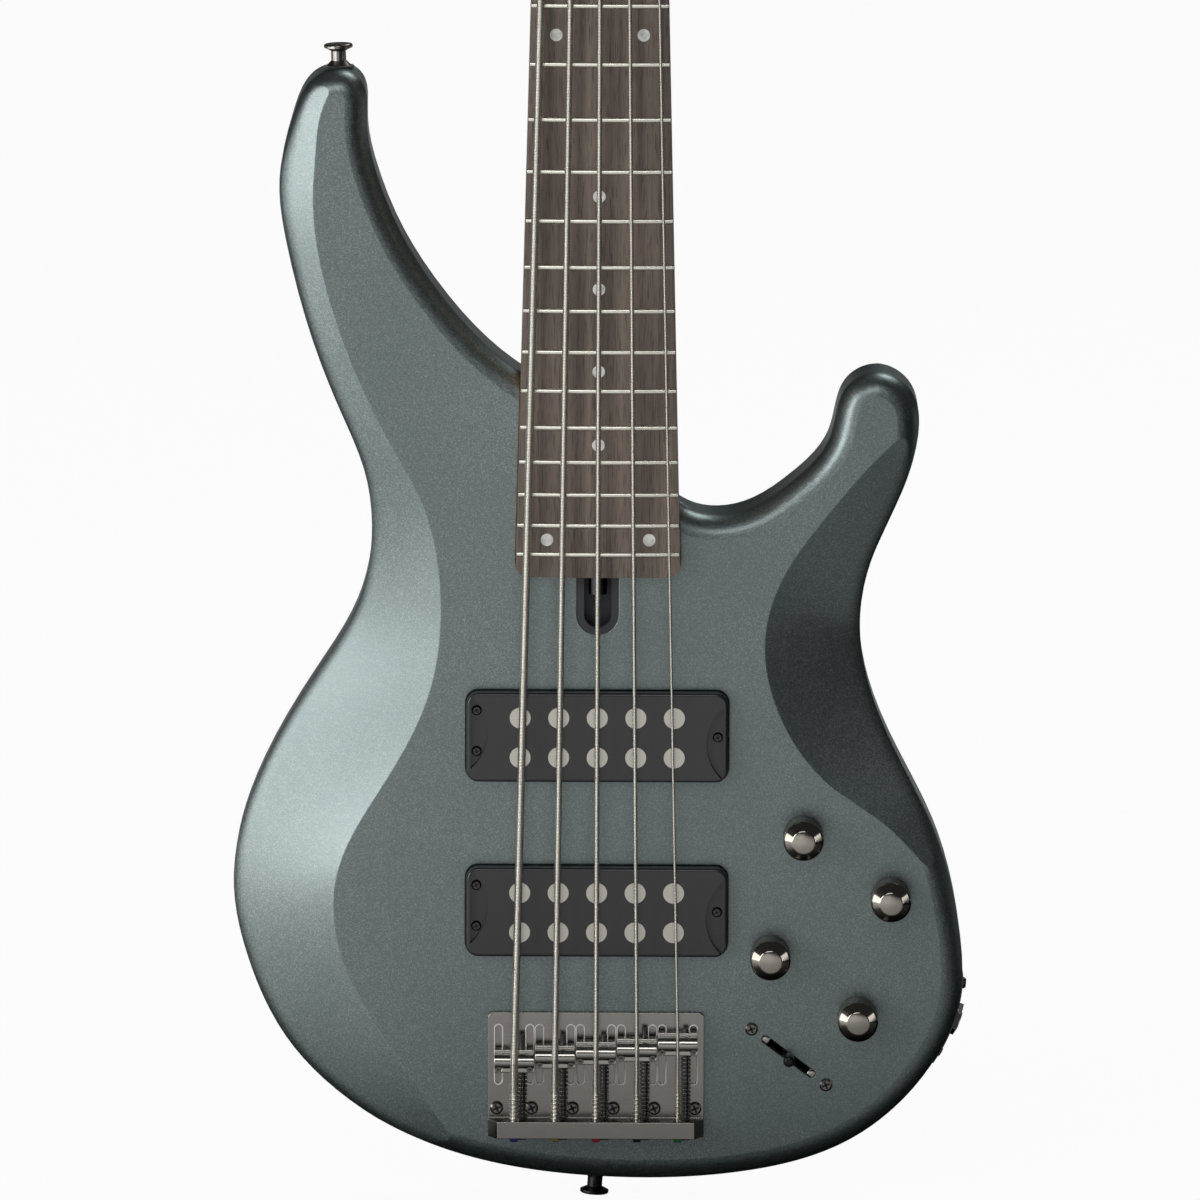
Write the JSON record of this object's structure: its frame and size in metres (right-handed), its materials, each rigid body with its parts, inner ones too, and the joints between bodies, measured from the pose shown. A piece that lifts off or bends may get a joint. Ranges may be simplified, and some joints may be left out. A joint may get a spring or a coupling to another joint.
{
  "type": "electric bass guitar",
  "caption": "Long-scale electric bass guitar with a carved double-cutaway body, humbucking pickups, knobs, a lever selector, saddle bridge and angled headstock with tuning machines.",
  "frame": {"origin": "on the centre line at the fingerboard end of the nut, on the plane where fingerboard and neck meet", "axes": "+X to the treble side (the viewer's right), +Y to the back, +Z along the neck towards the headstock"},
  "size_m": [0.3236, 0.0647, 1.1214],
  "materials": {
    "body_paint": "satin metallic paint over wood",
    "neck_wood": "satin lacquer",
    "fingerboard_wood": "oiled",
    "nickel": "polished",
    "black_nickel": "polished smoked plating",
    "black_steel": "black oxide",
    "pearl": "polished",
    "black_gloss": "gloss",
    "black_matte": "matte",
    "pole_steel": "satin",
    "felt": "felt",
    "foam": "matte",
    "circuit": "matte",
    "battery_case": "gloss",
    "ball_brass": "plated"
  },
  "bodies": {
    "instrument": {"body": "body_paint", "neck": "neck_wood", "fingerboard": "fingerboard_wood", "frets": "nickel", "position_dots": "pearl", "nut": "black_matte", "truss_rod": "black_steel", "truss_access": "black_matte", "neck_screws": "black_nickel", "neck_ferrules": "black_nickel", "control_cover": "black_matte", "battery_box": "black_matte", "battery": "battery_case", "strap_buttons": "black_nickel", "strap_screws": "black_steel", "strap_felts": "felt", "jack_plate": "black_nickel", "output_jack": "nickel", "panel_nuts": "black_nickel", "small_screws": "black_steel", "preamp_board": "circuit", "potentiometers": "nickel", "selector_switch": "nickel", "selector_screws": "black_nickel", "neck_pickup": "black_gloss", "bridge_pickup": "black_gloss", "neck_pickup_poles": "pole_steel", "bridge_pickup_poles": "pole_steel", "pickup_screws": "black_steel", "pickup_foams": "foam", "bridge_plate": "black_nickel", "bridge_screws": "black_steel", "saddles": "black_nickel", "saddle_height_screws": "black_steel", "intonation_screws": "black_steel", "intonation_springs": "black_steel", "tuner_housings": "black_nickel", "tuner_bushings": "black_nickel", "strings": "nickel", "ball_ends": "ball_brass"},
    "volume_control": {"volume_knob": "black_nickel", "volume_shaft": "nickel"},
    "blend_control": {"blend_knob": "black_nickel", "blend_shaft": "nickel"},
    "bass_control": {"bass_knob": "black_nickel", "bass_shaft": "nickel"},
    "treble_control": {"treble_knob": "black_nickel", "treble_shaft": "nickel"},
    "selector": {"selector_lever": "black_nickel"},
    "key_b": {"tuner_key_b": "black_nickel"},
    "post_b": {"tuner_post_b": "black_nickel"},
    "key_e": {"tuner_key_e": "black_nickel"},
    "post_e": {"tuner_post_e": "black_nickel"},
    "key_a": {"tuner_key_a": "black_nickel"},
    "post_a": {"tuner_post_a": "black_nickel"},
    "key_d": {"tuner_key_d": "black_nickel"},
    "post_d": {"tuner_post_d": "black_nickel"},
    "key_g": {"tuner_key_g": "black_nickel"},
    "post_g": {"tuner_post_g": "black_nickel"},
    "battery_lid": {"battery_door": "black_matte"}
  },
  "joints": [
    {"name": "volume_turn", "type": "hinge", "parent": "instrument", "child": "volume_control", "pos_m": [0.0907, 0.004, -0.7738], "axis": [0, -1, 0], "range_deg": [-140, 140]},
    {"name": "blend_turn", "type": "hinge", "parent": "instrument", "child": "blend_control", "pos_m": [0.1293, 0.004, -0.8011], "axis": [0, -1, 0], "range_deg": [-140, 140]},
    {"name": "bass_turn", "type": "hinge", "parent": "instrument", "child": "bass_control", "pos_m": [0.0765, 0.004, -0.8273], "axis": [0, -1, 0], "range_deg": [-140, 140]},
    {"name": "treble_turn", "type": "hinge", "parent": "instrument", "child": "treble_control", "pos_m": [0.1151, 0.004, -0.8546], "axis": [0, -1, 0], "range_deg": [-140, 140]},
    {"name": "selector_swing", "type": "hinge", "parent": "instrument", "child": "selector", "pos_m": [0.0849, 0.024, -0.8732], "axis": [0.6032, 0, 0.7976], "range_deg": [-22, 22]},
    {"name": "key_b_turn", "type": "hinge", "parent": "instrument", "child": "key_b", "pos_m": [-0.02204, 0.02748, 0.0438], "axis": [-1, 0, 0], "continuous": true},
    {"name": "post_b_turn", "type": "hinge", "parent": "instrument", "child": "post_b", "pos_m": [-0.02204, 0.00729, 0.04736], "axis": [0, -0.9848, 0.1736], "continuous": true},
    {"name": "key_e_turn", "type": "hinge", "parent": "instrument", "child": "key_e", "pos_m": [-0.01322, 0.03478, 0.08516], "axis": [-1, 0, 0], "continuous": true},
    {"name": "post_e_turn", "type": "hinge", "parent": "instrument", "child": "post_e", "pos_m": [-0.01322, 0.01459, 0.08872], "axis": [0, -0.9848, 0.1736], "continuous": true},
    {"name": "key_a_turn", "type": "hinge", "parent": "instrument", "child": "key_a", "pos_m": [-0.00538, 0.04207, 0.12653], "axis": [-1, 0, 0], "continuous": true},
    {"name": "post_a_turn", "type": "hinge", "parent": "instrument", "child": "post_a", "pos_m": [-0.00538, 0.02188, 0.13009], "axis": [0, -0.9848, 0.1736], "continuous": true},
    {"name": "key_d_turn", "type": "hinge", "parent": "instrument", "child": "key_d", "pos_m": [0.01248, 0.03842, 0.10584], "axis": [1, 0, 0], "continuous": true},
    {"name": "post_d_turn", "type": "hinge", "parent": "instrument", "child": "post_d", "pos_m": [0.01248, 0.01823, 0.10941], "axis": [0, -0.9848, 0.1736], "continuous": true},
    {"name": "key_g_turn", "type": "hinge", "parent": "instrument", "child": "key_g", "pos_m": [0.02049, 0.03113, 0.06448], "axis": [1, 0, 0], "continuous": true},
    {"name": "post_g_turn", "type": "hinge", "parent": "instrument", "child": "post_g", "pos_m": [0.02049, 0.01094, 0.06804], "axis": [0, -0.9848, 0.1736], "continuous": true},
    {"name": "battery_door_hinge", "type": "hinge", "parent": "instrument", "child": "battery_lid", "pos_m": [-0.086, 0.0448, -0.80065], "axis": [1, 0, 0], "range_deg": [0, 100]}
  ],
  "couplings": [
    {"joint": "post_b_turn", "follows": "key_b_turn", "ratio": 0.05},
    {"joint": "post_e_turn", "follows": "key_e_turn", "ratio": 0.05},
    {"joint": "post_a_turn", "follows": "key_a_turn", "ratio": 0.05},
    {"joint": "post_d_turn", "follows": "key_d_turn", "ratio": -0.05},
    {"joint": "post_g_turn", "follows": "key_g_turn", "ratio": -0.05}
  ]
}
